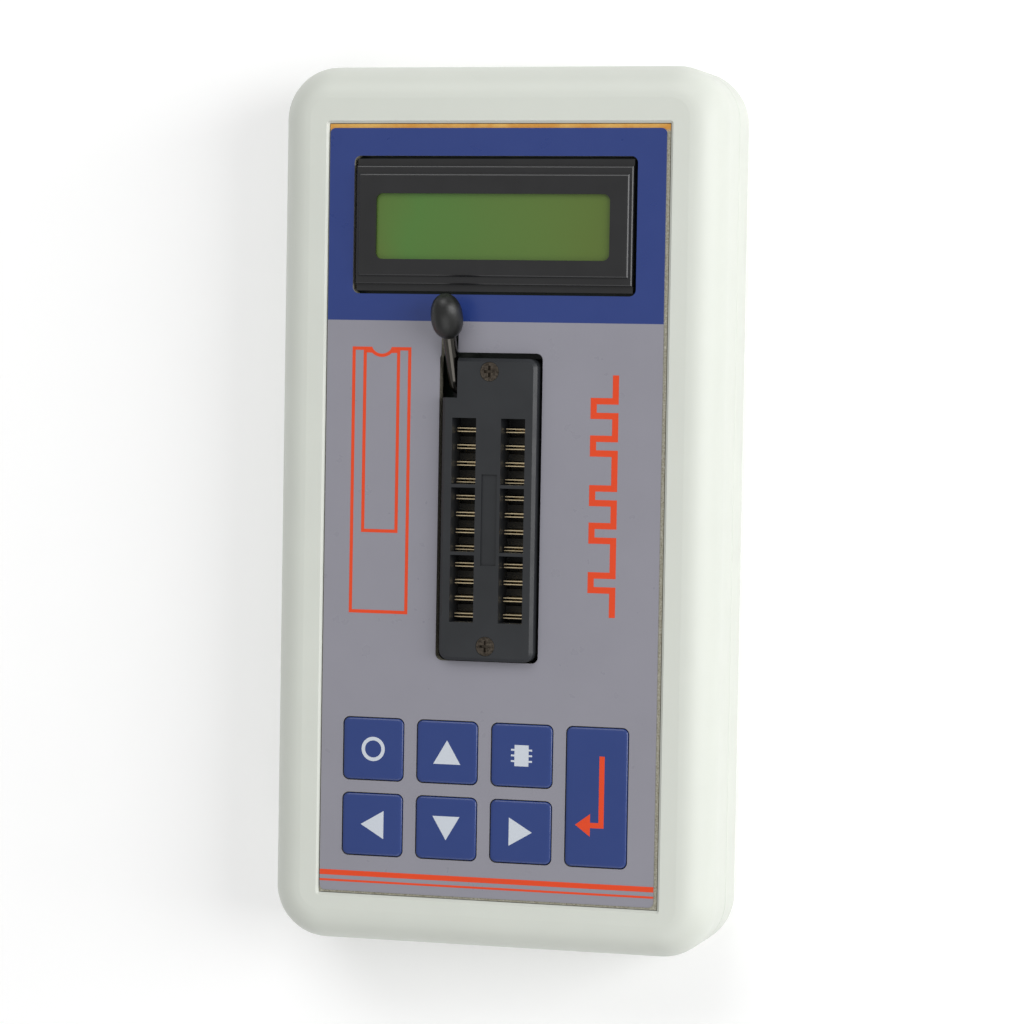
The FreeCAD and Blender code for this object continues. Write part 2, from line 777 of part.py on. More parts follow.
def frustum(name, x, y, level, low_radius, high_radius, height):
    cone = doc.addObject("Part::Cone", name)
    cone.setExpression("Radius1", linked(low_radius))
    cone.setExpression("Radius2", linked(high_radius))
    cone.setExpression("Height", linked(height))
    set_place(cone, x, y, level)
    return cone


# ---------------------------------------------------------------- display

def build_bezel():
    """A folded black metal frame: low flanges, a step and a raised face with the window."""
    body = new_body("display_bezel")
    flange = new_sketch(body, "bezel_flange", offset="bezel_base_level")
    add_rectangle(flange, "display_x", "display_y", "bezel_width", "bezel_length")
    pad(body, flange, "bezel_flange_level - bezel_base_level")
    step = new_sketch(body, "bezel_step", offset="bezel_base_level")
    add_rectangle(step, "display_x", "display_y", "bezel_width", "bezel_step_length")
    pad(body, step, "bezel_step_level - bezel_base_level")
    dress(body, "Fillet", "bezel_step_round", lies_at(value("bezel_step_level")))
    raised = new_sketch(body, "bezel_raised", offset="bezel_base_level")
    raised_width = "bezel_width - 2 * bezel_end_round"
    add_rectangle(raised, "display_x", "display_y", raised_width, "bezel_raised_length")
    pad(body, raised, "bezel_top_level - bezel_base_level")
    dress(body, "Fillet", "bezel_bevel", lies_at(value("bezel_top_level")))
    room = new_sketch(body, "bezel_room", offset="bezel_base_level")
    add_rectangle(room, "display_x", "display_y", "bezel_width - 2 * (bezel_wall + bezel_end_round)",
                  "bezel_raised_length - 2 * bezel_wall")
    pocket(body, room, "bezel_top_level - bezel_wall - bezel_base_level", upward=True)
    window = new_sketch(body, "bezel_window", offset="bezel_top_level + pierce")
    add_rounded(window, "window_x", "window_y", "window_width", "window_length", "opening_corner")
    pocket(body, window, "bezel_wall + 2 * pierce")
    keep(body, "display_bezel")


def build_display():
    build_bezel()
    inner_width = "bezel_width - 2 * (bezel_wall + bezel_end_round + part_gap)"
    inner_length = "bezel_raised_length - 2 * bezel_wall - 2 * part_gap"
    glass_level = "bezel_top_level - bezel_wall - glass_thickness - part_gap"
    keep(centred_block("display_glass", "display_x", "display_y", glass_level, inner_width, inner_length,
                       "glass_thickness"), "display_glass")
    keep(centred_block("display_light_guide", "display_x", "display_y", "bezel_base_level + part_gap",
                       inner_width, inner_length, f"{glass_level} - bezel_base_level - 2 * part_gap"),
         "display_light_guide")
    board_level = "bezel_base_level - display_board_thickness"
    board = centred_block("display_board_plate", "display_x", "display_y", board_level, "display_board_width",
                          "display_board_length", "display_board_thickness")
    holes = []
    drill = "display_board_thickness + 2 * beyond"
    for index in range(DISPLAY_PINS):
        holes.append(rod(f"display_pin_hole_{index}", "pin_hole_radius", drill, display_pin_x(index),
                         DISPLAY_PIN_Y, f"{board_level} - beyond"))
    keep(less("display_board", board, joined("display_pin_holes", holes)), "display_board")
    build_display_header()


def display_pin_x(index):
    return f"display_x + ({index} - {(DISPLAY_PINS - 1) / 2}) * contact_pitch"


def build_display_header():
    """A strip of square pins that joins the display's board to the main board."""
    pieces = [centred_block("display_header_strip", "display_x", DISPLAY_PIN_Y, f"{BOARD_TOP} + part_gap",
                            f"{DISPLAY_PINS} * contact_pitch", "header_width",
                            f"bezel_base_level - display_board_thickness - {BOARD_TOP} - 2 * part_gap")]
    for index in range(DISPLAY_PINS):
        pieces.append(centred_block(f"display_pin_{index}", display_pin_x(index), DISPLAY_PIN_Y,
                                    "main_board_level - pin_end", "pin_width", "pin_width",
                                    "bezel_base_level - main_board_level + pin_rise + pin_end"))
    keep(joined("display_header", pieces), "display_header")


# ---------------------------------------------------------------- test socket

def build_socket_base():
    body = new_body("socket_base")
    outline = new_sketch(body, "base_outline", offset=BOARD_TOP)
    add_rounded(outline, "socket_x", "socket_y", "socket_width", "socket_length", "socket_corner")
    pad(body, outline, f"socket_base_top - {BOARD_TOP}")
    cells = new_sketch(body, "contact_cells", offset="socket_base_top")
    tails = new_sketch(body, "tail_holes", offset="socket_base_top")
    for x in COLUMNS:
        for y in CONTACT_YS:
            add_rectangle(cells, x, y, "contact_width + 2 * contact_cell_play",
                          "contact_gap + 2 * contact_sheet + 2 * slider_play")
            add_circle(tails, x, y, "tail_width")
    pocket(body, cells, "socket_base_top - contact_foot_level + part_gap")
    pocket(body, tails, "socket_base_top")
    bearings = new_sketch(body, "bearing_blocks", offset="socket_base_top")
    for x in ("socket_x - bearing_shift", "socket_x + bearing_shift"):
        add_rectangle(bearings, x, "lever_pivot_y", "bearing_width", "2 * (wire_radius + bearing_margin)")
    pad(body, bearings, "lever_pivot_z - socket_base_top")
    saddle = new_sketch(body, "bearing_saddle", plane="YZ_Plane", offset="0")
    add_circle(saddle, "lever_pivot_y", "lever_pivot_z", "wire_radius + shaft_play")
    cut_through_x(body, saddle, "socket_width")
    screw_holes = new_sketch(body, "base_screw_holes", offset="socket_base_top")
    for y in ("socket_screw_top_y", "socket_screw_bottom_y"):
        add_circle(screw_holes, "socket_x", y, "socket_screw_radius")
    pocket(body, screw_holes, "socket_base_top")
    keep(body, "socket_base")


def cut_through_x(body, sketch, length):
    """Cuts both ways along X from a sketch on the YZ plane."""
    feature = body.newObject("PartDesign::Pocket", sketch.Name + "_pocket")
    feature.Profile = sketch
    feature.SideType = "Symmetric"
    feature.setExpression("Length", linked(length))
    body.Tip = feature
    doc.recompute()


def build_fork(stem, x, y):
    """One forked spring contact: two thin leaves on a foot, with a square tail through the board."""
    leaf_height = "contact_top - contact_foot_level"
    leaf_shift = "(contact_gap + contact_sheet) / 2"
    pieces = []
    for side, sign in (("a", "+"), ("b", "-")):
        leaf_y = f"{y} {sign} {leaf_shift}"
        pieces.append(centred_block(f"{stem}_leaf_{side}", x, leaf_y, "contact_foot_level", "contact_width",
                                    "contact_sheet", leaf_height))
    pieces.append(centred_block(f"{stem}_foot", x, y, "contact_foot_level", "contact_width",
                                "contact_gap + 2 * contact_sheet", "2 * contact_sheet"))
    pieces.append(centred_block(f"{stem}_tail", x, y, "tail_end", "tail_width", "tail_thickness",
                                "contact_foot_level - tail_end + contact_sheet"))
    return joined(stem, pieces)


def build_socket_contacts():
    for side, x in zip(("left", "right"), COLUMNS):
        forks = [build_fork(f"fork_{side}_{index}", x, y) for index, y in enumerate(CONTACT_YS)]
        keep(group(f"contacts_{side}", forks), f"socket_contacts_{side}")


def build_socket_slider():
    """The plate that squeezes the contacts: a slotted sheet with a block that the cam pushes."""
    body = new_body("socket_slider")
    outline = new_sketch(body, "slider_outline", offset="slider_level")
    cam_reach = "(lever_pivot_y - cam_offset / 2 - cam_radius - slider_cam_gap)"
    low_end = f"({LAST_CONTACT_Y} - slider_end_margin)"
    add_rectangle(outline, "socket_x", f"({cam_reach} + {low_end}) / 2", "slider_width",
                  f"{cam_reach} - {low_end}")
    pad(body, outline, "slider_thickness")
    raised = new_sketch(body, "slider_block", offset="slider_level")
    add_rectangle(raised, "socket_x", f"{cam_reach} - slider_block_length / 2", "slider_block_width",
                  "slider_block_length")
    pad(body, raised, "slider_block_top - slider_level")
    slots = new_sketch(body, "slider_slots", offset="slider_level + slider_thickness")
    slot_length = "contact_gap + 2 * contact_sheet + 2 * slider_play + slider_travel"
    for x in COLUMNS:
        for y in CONTACT_YS:
            add_rectangle(slots, x, f"{y} - slider_travel / 2", "contact_width + 2 * slider_slot_margin",
                          slot_length)
    for x in ("socket_x - bearing_shift", "socket_x + bearing_shift"):
        add_rectangle(slots, x, cam_reach, "bearing_width + 2 * contact_cell_play", "slider_notch")
    pocket(body, slots, "slider_thickness")
    keep(body, "socket_slider")


def build_socket_cover():
    body = new_body("socket_cover")
    outline = new_sketch(body, "cover_outline", offset="socket_base_top")
    add_rounded(outline, "socket_x", "socket_y", "socket_width", "socket_length", "socket_corner")
    pad(body, outline, "cover_top - socket_base_top")
    dress(body, "Chamfer", "cover_bevel", lies_at(value("cover_top")))
    low_end = f"({LAST_CONTACT_Y} - slider_end_margin - 2 * slider_play)"
    high_end = "(lever_pivot_y - wire_radius)"
    room = new_sketch(body, "slider_room", offset="socket_base_top")
    add_rectangle(room, "socket_x", f"({low_end} + {high_end}) / 2", "slider_width + 2 * slider_play",
                  f"{high_end} - {low_end}")
    pocket(body, room, "slider_level + slider_thickness + slider_play - socket_base_top", upward=True)
    cam_room = new_sketch(body, "cam_room", offset="socket_base_top")
    cam_low = "(lever_pivot_y - cam_radius - cam_offset - slider_block_length - notch_side_margin)"
    cam_high = "(lever_pivot_y + cam_room_length)"
    add_rectangle(cam_room, "socket_x", f"({cam_low} + {cam_high}) / 2", "slider_width + 2 * slider_play",
                  f"{cam_high} - {cam_low}")
    pocket(body, cam_room, "lever_pivot_z + cam_radius - socket_base_top", upward=True)
    notch = new_sketch(body, "lever_notch", offset="cover_top")
    notch_low = "(lever_pivot_y - wire_radius - notch_margin)"
    notch_high = "(socket_y + socket_length / 2 + beyond)"
    notch_left = "(socket_x - socket_width / 2 - beyond)"
    notch_right = "(lever_x + wire_radius + notch_side_margin)"
    add_rectangle(notch, f"({notch_left} + {notch_right}) / 2", f"({notch_low} + {notch_high}) / 2",
                  f"{notch_right} - {notch_left}", f"{notch_high} - {notch_low}")
    pocket(body, notch, "cover_top - socket_base_top")
    windows = new_sketch(body, "contact_windows", offset="cover_top")
    groups = CONTACT_ROWS // CONTACTS_PER_WINDOW
    for x in COLUMNS:
        for index in range(groups):
            first = f"(contact_first_y - {index * CONTACTS_PER_WINDOW} * contact_pitch)"
            last = f"({first} - {CONTACTS_PER_WINDOW - 1} * contact_pitch)"
            above = "(contact_pitch - slot_bar_offset - slot_bar / 2)"
            below = "(slot_bar_offset - slot_bar / 2)"
            if index == 0:
                above = "slot_top_margin"
            if index == groups - 1:
                below = "slot_bottom_margin"
            add_rectangle(windows, x, f"({first} + {above} + {last} - {below}) / 2", "slot_width",
                          f"{first} + {above} - {last} + {below}")
    pocket(body, windows, "cover_top - socket_base_top")
    label = new_sketch(body, "label_recess", offset="cover_top")
    add_rectangle(label, "label_x", "label_y", "label_width", "label_length")
    pocket(body, label, "label_depth")
    screw_holes = new_sketch(body, "cover_screw_holes", offset="cover_top")
    screw_seats = new_sketch(body, "cover_screw_seats", offset="cover_top")
    for y in ("socket_screw_top_y", "socket_screw_bottom_y"):
        add_circle(screw_holes, "socket_x", y, "socket_screw_radius")
        add_circle(screw_seats, "socket_x", y, "socket_screw_head + part_gap")
    pocket(body, screw_holes, "cover_top - socket_base_top")
    pocket(body, screw_seats, "socket_screw_seat")
    keep(body, "socket_cover")


def build_socket_screws():
    screws = []
    seat = "(cover_top - socket_screw_seat)"
    for index, y in enumerate(("socket_screw_top_y", "socket_screw_bottom_y")):
        shank = rod(f"socket_shank_{index}", "socket_screw_radius - part_gap", f"{seat} - socket_screw_end",
                    "socket_x", y, "socket_screw_end")
        head = rod(f"socket_head_{index}", "socket_screw_head", "socket_screw_seat - part_gap", "socket_x",
                   y, seat)
        whole = joined(f"socket_screw_{index}", [shank, head])
        cross = cross_recess(f"socket_cross_{index}", "socket_x", y, "cover_top - cross_sink",
                             "socket_cross_width", "socket_cross_length", "cross_height")
        screws.append(less(f"socket_screw_cut_{index}", whole, cross))
    keep(group("socket_screws_group", screws), "socket_screws")


# ---------------------------------------------------------------- lever

def lever_point(distance):
    """A point on the arm's axis, as expressions of y and z."""
    angle = math.radians(value("lever_rest_angle"))
    y = f"lever_pivot_y + ({distance}) * {math.cos(angle):.6f}"
    z = f"lever_pivot_z + ({distance}) * {math.sin(angle):.6f}"
    return y, z


def turned(item):
    """Turns a cylinder or revolved piece so that its axis runs along the lever's arm."""
    item.Placement = Placement(Vector(), Rotation(Vector(1, 0, 0), value("lever_rest_angle") - 90))
    return item


def build_lever():
    shaft = rod("lever_shaft", "wire_radius", "shaft_end_x - lever_x", "lever_x", "lever_pivot_y",
                "lever_pivot_z", along="x")
    elbow = doc.addObject("Part::Sphere", "lever_elbow")
    elbow.setExpression("Radius", linked("wire_radius + elbow_extra"))
    set_place(elbow, "lever_x", "lever_pivot_y", "lever_pivot_z")
    arm_length = "lever_length - knob_length / 2 + knob_bore_depth"
    arm = turned(rod("lever_arm", "wire_radius", arm_length, "0", "0", "0"))
    set_place(arm, "lever_x", "lever_pivot_y", "lever_pivot_z")
    cam_angle = math.radians(value("cam_rest_angle"))
    cam = rod("lever_cam", "cam_radius", "cam_width", "socket_x - cam_width / 2",
              f"lever_pivot_y + cam_offset * {math.cos(cam_angle):.6f}",
              f"lever_pivot_z + cam_offset * {math.sin(cam_angle):.6f}", along="x")
    keep(joined("lever_wire", [shaft, elbow, arm, cam]), "lever_wire")


def build_lever_knob():
    """An egg-shaped grip on the end of the wire: an ellipsoid with a blind bore."""
    y, z = lever_point("lever_length")
    egg = doc.addObject("Part::Ellipsoid", "knob_egg")
    egg.setExpression("Radius1", linked("knob_radius"))
    egg.setExpression("Radius2", linked("knob_radius"))
    egg.setExpression("Radius3", linked("knob_length / 2"))
    egg.Placement = Placement(Vector(), Rotation(Vector(1, 0, 0), value("lever_rest_angle")))
    set_place(egg, "lever_x", y, z)
    start_y, start_z = lever_point("lever_length - knob_length / 2 - beyond")
    bore = turned(rod("knob_bore", "wire_radius + knob_bore_play", "knob_bore_depth + beyond + part_gap",
                      "0", "0", "0"))
    set_place(bore, "lever_x", start_y, start_z)
    keep(less("lever_knob", egg, bore), "lever_knob")


# ---------------------------------------------------------------- electronics

def build_main_board():
    body = new_body("main_board")
    outline = new_sketch(body, "main_board_outline", offset="main_board_level")
    add_rounded(outline, "0", "main_board_y", "main_board_width", "main_board_length", "opening_corner")
    pad(body, outline, "board_thickness")
    holes = new_sketch(body, "main_board_holes", offset=BOARD_TOP)
    for x in COLUMNS:
        for y in CONTACT_YS:
            add_circle(holes, x, y, "tail_width")
    for x, y in POSTS:
        add_circle(holes, x, y, "board_screw_radius + hole_play")
    for index in range(DISPLAY_PINS):
        add_circle(holes, display_pin_x(index), DISPLAY_PIN_Y, "pin_hole_radius")
    for index in range(PANEL_PINS):
        add_circle(holes, "panel_header_x", panel_pin_y(index), "pin_hole_radius")
    pocket(body, holes, "board_thickness")
    keep(body, "main_board")


def panel_pin_y(index):
    return f"panel_header_y - {index} * contact_pitch"


def build_panel_header():
    """Pins between the main board and the underside of the front panel's board."""
    pieces = [centred_block("panel_header_strip", "panel_header_x", panel_pin_y((PANEL_PINS - 1) / 2),
                            f"{BOARD_TOP} + part_gap", "header_width", f"{PANEL_PINS} * contact_pitch",
                            f"panel_level - {BOARD_TOP} - 2 * part_gap")]
    for index in range(PANEL_PINS):
        pieces.append(centred_block(f"panel_pin_{index}", "panel_header_x", panel_pin_y(index),
                                    "main_board_level - pin_end", "pin_width", "pin_width",
                                    "panel_level - main_board_level - part_gap + pin_end"))
    keep(joined("panel_header", pieces), "panel_header")


def build_board_screws():
    screws = []
    for index, (x, y) in enumerate(POSTS):
        shank = rod(f"board_shank_{index}", "board_screw_radius", "board_screw_depth + board_thickness", x, y,
                    "main_board_level - board_screw_depth")
        head = rod(f"board_head_{index}", "board_screw_head", "board_screw_head_height", x, y, BOARD_TOP)
        whole = joined(f"board_screw_{index}", [shank, head])
        cross_level = f"{BOARD_TOP} + board_screw_head_height - cross_sink"
        cross = cross_recess(f"board_cross_{index}", x, y, cross_level, "socket_cross_width",
                             "board_cross_length", "cross_height")
        screws.append(less(f"board_screw_cut_{index}", whole, cross))
    keep(group("board_screws_group", screws), "board_screws")


def leg_row(name, x, y, width, length, height, pins, pitch, upright):
    """Legs along the two sides of a chip: left and right, or top and bottom when upright."""
    legs = []
    for index in range(pins):
        shift = f"({index} - {(pins - 1) / 2}) * {pitch}"
        for side in ("-", "+"):
            if upright:
                spot = (f"{x} + {shift}", f"{y} {side} ({length} / 2 + leg_shift)")
            else:
                spot = (f"{x} {side} ({width} / 2 + leg_shift)", f"{y} + {shift}")
            size = ("leg_width", "leg_length") if upright else ("leg_length", "leg_width")
            legs.append(centred_block(f"{name}_leg", *spot, BOARD_TOP, *size, height))
    return legs


def leaded_chip(name, x, y, width, length, height, pins, pitch, four_sides=False):
    """A flat chip with gull-wing legs along its two long sides, or on all four sides."""
    pieces = [centred_block(f"{name}_case", x, y, f"{BOARD_TOP} + chip_lift", width, length, height)]
    pieces += leg_row(name, x, y, width, length, "leg_height", pins, pitch, False)
    if four_sides:
        pieces += leg_row(name, x, y, width, length, "leg_height", pins, pitch, True)
    keep(joined(name, pieces), name)


def build_crystal():
    """A flat can with round upright edges."""
    x, y, width, length, height = CRYSTAL
    can = centred_block("crystal_can", x, y, BOARD_TOP, width, length, height)
    doc.recompute()
    crystal = doc.addObject("Part::Fillet", "crystal")
    crystal.Base = can
    radius = value("crystal_round")
    upright = [number for number, edge in enumerate(can.Shape.Edges, start=1) if edge.BoundBox.ZLength > TINY
               and edge.BoundBox.XLength < SAME_LEVEL and edge.BoundBox.YLength < SAME_LEVEL]
    crystal.Edges = [(number, radius, radius) for number in upright]
    keep(crystal, "crystal")


# x, y, width, length, height, legs on a side
MICROCONTROLLER = ("-16", "2", "10", "10", "1.4", 11)
DRIVER_CHIPS = {
    "driver_chip_upper": ("14", "12", "3.9", "9.9", "1.5", 8),
    "driver_chip_lower": ("14", "-6", "3.9", "9.9", "1.5", 8),
}
# x, y, width, length, height
CRYSTAL = ("-16", "14", "4.6", "10.5", "3.4")
REGULATOR = ("9", "26", "6.5", "3.5", "1.7")
# radius, height, x, y
CAPACITORS = (("2.5", "5.6", "-12", "26"), ("2.5", "5.6", "-4", "26"))
BUZZER = ("4.5", "4", "14", "38")


def build_electronics():
    """The main board's parts: chips and crystal on top, taller parts hanging below it."""
    leaded_chip("microcontroller", *MICROCONTROLLER, "fine_pitch", four_sides=True)
    for name, sizes in DRIVER_CHIPS.items():
        leaded_chip(name, *sizes, "chip_pitch")
    build_crystal()
    cans = [hanging_can(f"capacitor_{index}", *sizes) for index, sizes in enumerate(CAPACITORS)]
    keep(group("capacitors_group", cans), "capacitors")
    x, y, width, length, height = REGULATOR
    keep(centred_block("voltage_regulator", x, y, f"main_board_level - {height}", width, length, height),
         "voltage_regulator")
    keep(hanging_can("buzzer", *BUZZER), "buzzer")


def hanging_can(name, radius, height, x, y):
    return rod(name, radius, height, x, y, f"main_board_level - {height}")


# ---------------------------------------------------------------- batteries

def build_batteries():
    """Four cells across the case, each turned end for end, and the plates at their positive ends."""
    plates = []
    for index, y in enumerate(CELLS):
        name = f"battery_cell_{index + 1}"
        if index % 2 == 0:
            can_start, nub_start = "-(cell_length + nub_length) / 2", "(cell_length - nub_length) / 2"
            plates.append(contact_plate(f"plate_{index}", y, "bay_half_width - part_gap - plate_sheet",
                                        "(cell_length + nub_length) / 2 + part_gap"))
        else:
            can_start, nub_start = "-(cell_length - nub_length) / 2", "-(cell_length + nub_length) / 2"
            plates.append(contact_plate(f"plate_{index}", y, "-bay_half_width + part_gap",
                                        "-bay_half_width + part_gap + plate_sheet / 2"))
        can = rod(f"{name}_can", "cell_radius", "cell_length", can_start, y, "cell_level", along="x")
        nub = rod(f"{name}_nub", "nub_radius", "nub_length", nub_start, y, "cell_level", along="x")
        keep(joined(name, [can, nub]), name)
    keep(group("battery_plates_group", plates), "battery_plates")


def contact_plate(name, y, sheet_x, button_x):
    """A flat plate on the bay's wall with a raised button for the positive end."""
    half = "plate_size / 2"
    sheet_plate = block(f"{name}_sheet", (sheet_x, f"{y} - {half}", f"cell_level - {half}"),
                        ("plate_sheet", "plate_size", "plate_size"))
    reach = "bay_half_width - (cell_length + nub_length) / 2 - 2 * part_gap - plate_sheet / 2"
    button = rod(f"{name}_button", "button_radius", reach, button_x, y, "cell_level", along="x")
    return joined(name, [sheet_plate, button])


def build_battery_springs():
    """Bowed leaf springs on the bay's walls, one at each cell's flat end."""
    body = new_body("battery_springs")
    outlines = new_sketch(body, "leaf_outlines", offset="cell_level - leaf_width / 2")
    for index, y in enumerate(CELLS):
        side = "-" if index % 2 == 0 else ""
        wall = "(bay_half_width - part_gap)"
        tip = "((cell_length + nub_length) / 2 + part_gap)"
        profile = [
            (wall, "- 4"),
            (wall, "+ 4"),
            (f"({wall} - leaf_sheet)", "+ 4"),
            (f"({wall} - leaf_sheet)", "- 3.5"),
            (f"({tip} + leaf_sheet)", "- 0.9"),
            (f"({tip} + leaf_sheet)", "+ 0.9"),
            (f"({wall} - 2 * leaf_sheet)", "+ 3.2"),
            (f"({wall} - 3 * leaf_sheet)", "+ 3.6"),
            (tip, "+ 1"),
            (tip, "- 1"),
            (f"({wall} - leaf_sheet)", "- 4"),
        ]
        add_polygon(outlines, [(f"{side}{x}", f"{y} {shift}") for x, shift in profile])
    pad(body, outlines, "leaf_width")
    keep(body, "battery_springs")


# ---------------------------------------------------------------- whole assembly

build_top_shell()
build_bottom_shell()
build_battery_door()
build_case_screws()
build_panel_board()
build_panel_film()
build_keys()
build_display()
build_socket_base()
build_socket_contacts()
build_socket_slider()
build_socket_cover()
build_socket_screws()
build_lever()
build_lever_knob()
build_main_board()
build_panel_header()
build_board_screws()
build_electronics()
build_batteries()
build_battery_springs()
doc.recompute()

for item in doc.Objects:
    if "Invalid" in item.State or "Error" in item.State or "Touched" in item.State:
        raise RuntimeError(f"{item.Label} failed: {item.State}")
for node in NODES:
    if node.Shape.isNull() or not node.Shape.isValid():
        raise RuntimeError(f"{node.Label} has no valid shape")

os.makedirs("parts", exist_ok=True)
for node in NODES:
    node.Shape.exportStep(f"parts/{node.Label}.step")
    box = node.Shape.BoundBox
    print(f"{node.Label:24s} solids {len(node.Shape.Solids):3d} volume {node.Shape.Volume:10.2f} "
          f"x {box.XMin:7.2f} {box.XMax:7.2f} y {box.YMin:7.2f} {box.YMax:7.2f} "
          f"z {box.ZMin:6.2f} {box.ZMax:6.2f}")
print(len(NODES), "sub-parts")
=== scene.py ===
import json
import math

import bpy
from mathutils import Euler, Matrix, Vector


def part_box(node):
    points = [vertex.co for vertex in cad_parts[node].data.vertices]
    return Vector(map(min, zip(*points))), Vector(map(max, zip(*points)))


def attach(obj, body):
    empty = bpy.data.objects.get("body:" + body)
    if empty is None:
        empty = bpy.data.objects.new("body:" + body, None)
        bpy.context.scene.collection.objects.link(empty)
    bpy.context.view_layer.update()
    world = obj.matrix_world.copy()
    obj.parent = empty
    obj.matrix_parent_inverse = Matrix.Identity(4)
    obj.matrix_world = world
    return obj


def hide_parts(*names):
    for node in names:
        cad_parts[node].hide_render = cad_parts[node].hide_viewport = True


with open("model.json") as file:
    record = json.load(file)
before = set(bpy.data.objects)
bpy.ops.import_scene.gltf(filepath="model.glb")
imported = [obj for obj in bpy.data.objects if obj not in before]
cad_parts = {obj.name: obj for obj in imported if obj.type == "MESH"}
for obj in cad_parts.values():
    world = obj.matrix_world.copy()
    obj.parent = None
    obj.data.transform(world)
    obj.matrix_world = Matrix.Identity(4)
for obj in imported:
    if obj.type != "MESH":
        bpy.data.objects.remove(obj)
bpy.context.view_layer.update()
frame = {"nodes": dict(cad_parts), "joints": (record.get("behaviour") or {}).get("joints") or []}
nodes = frame["nodes"]
MM = 0.001


def middle(node):
    low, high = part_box(node)
    return (low + high) / 2


FILM_LOW, FILM_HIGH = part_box("panel_film")
FILM_TOP = FILM_HIGH.z
PRINT = 0.012 * MM


# ---------------------------------------------------------------- materials

class Paint:
    """A material under construction: its node tree, its shader and a few common node chains."""

    def __init__(self, name, colour, roughness, metallic=0.0, specular=0.5):
        self.material = bpy.data.materials.new(name)
        self.material.use_nodes = True
        self.tree = self.material.node_tree
        self.shader = self.tree.nodes["Principled BSDF"]
        self.shader.inputs["Base Color"].default_value = (*colour, 1)
        self.shader.inputs["Roughness"].default_value = roughness
        self.shader.inputs["Metallic"].default_value = metallic
        self.shader.inputs["Specular IOR Level"].default_value = specular
        self.place = self.tree.nodes.new("ShaderNodeTexCoord").outputs["Object"]

    def link(self, output, target):
        self.tree.links.new(output, target)
        return self

    def noise(self, scale, detail=4.0, roughness=0.6, stretch=None):
        """Noise with features of about 1 / scale metres."""
        source = self.place
        if stretch:
            mapping = self.tree.nodes.new("ShaderNodeMapping")
            mapping.inputs["Scale"].default_value = stretch
            self.link(source, mapping.inputs["Vector"])
            source = mapping.outputs["Vector"]
        node = self.tree.nodes.new("ShaderNodeTexNoise")
        node.inputs["Scale"].default_value = scale
        node.inputs["Detail"].default_value = detail
        node.inputs["Roughness"].default_value = roughness
        self.link(source, node.inputs["Vector"])
        return node.outputs["Fac"]

    def ramp(self, factor, stops):
        """A colour ramp through stops of (position, colour)."""
        node = self.tree.nodes.new("ShaderNodeValToRGB")
        first, last = node.color_ramp.elements[0], node.color_ramp.elements[1]
        first.position, first.color = stops[0][0], (*stops[0][1], 1)
        last.position, last.color = stops[-1][0], (*stops[-1][1], 1)
        for position, colour in stops[1:-1]:
            node.color_ramp.elements.new(position).color = (*colour, 1)
        self.link(factor, node.inputs["Fac"])
        return node.outputs["Color"]

    def colour_from(self, factor, stops):
        return self.link(self.ramp(factor, stops), self.shader.inputs["Base Color"])

    def roughness_from(self, factor, low, high):
        node = self.tree.nodes.new("ShaderNodeMapRange")
        node.inputs["From Min"].default_value = 0.3
        node.inputs["From Max"].default_value = 0.7
        node.inputs["To Min"].default_value = low
        node.inputs["To Max"].default_value = high
        self.link(factor, node.inputs["Value"])
        return self.link(node.outputs["Result"], self.shader.inputs["Roughness"])

    def bump_from(self, height, strength, distance):
        node = self.tree.nodes.new("ShaderNodeBump")
        node.inputs["Strength"].default_value = strength
        node.inputs["Distance"].default_value = distance
        self.link(height, node.inputs["Height"])
        return self.link(node.outputs["Normal"], self.shader.inputs["Normal"])

    def coat(self, weight, roughness):
        self.shader.inputs["Coat Weight"].default_value = weight
        self.shader.inputs["Coat Roughness"].default_value = roughness
        return self


def around(colour, spread):
    """Two colours, a little darker and a little lighter than the one given."""
    dark = tuple(channel * (1 - spread) for channel in colour)
    light = tuple(min(1, channel * (1 + spread)) for channel in colour)
    return dark, light


def plain_paint(name, colour, roughness, spread=0.05, scale=900, grain=0.1, depth=0.02, **more):
    """A moulded or printed surface: slight colour drift, uneven gloss and a fine grain."""
    paint = Paint(name, colour, roughness, **more)
    dark, light = around(colour, spread)
    paint.colour_from(paint.noise(scale / 12, 3), [(0.3, dark), (0.7, light)])
    paint.roughness_from(paint.noise(scale / 3, 3), roughness * 0.9, min(1, roughness * 1.12))
    paint.bump_from(paint.noise(scale * 4, 6), grain, depth * MM)
    return paint


def case_plastic():
    paint = plain_paint("case_plastic", (0.63, 0.655, 0.60), 0.45, spread=0.012, grain=0.14, depth=0.03)
    paint.shader.inputs["Subsurface Weight"].default_value = 0.06
    paint.shader.inputs["Subsurface Radius"].default_value = (0.8 * MM, 0.8 * MM, 0.7 * MM)
    paint.shader.inputs["Subsurface Scale"].default_value = 1.0
    return paint.material


def film_print(name, colour, roughness=0.3):
    """Printed polyester: satin with a faint unevenness that softens reflections."""
    paint = plain_paint(name, colour, roughness, spread=0.02, grain=0.03, depth=0.01)
    return paint.coat(0.25, 0.12).material


# where the painted light on the board's display end fades in and reaches full
ORANGE_FROM, ORANGE_FULL = 56.6 * MM, 57.1 * MM


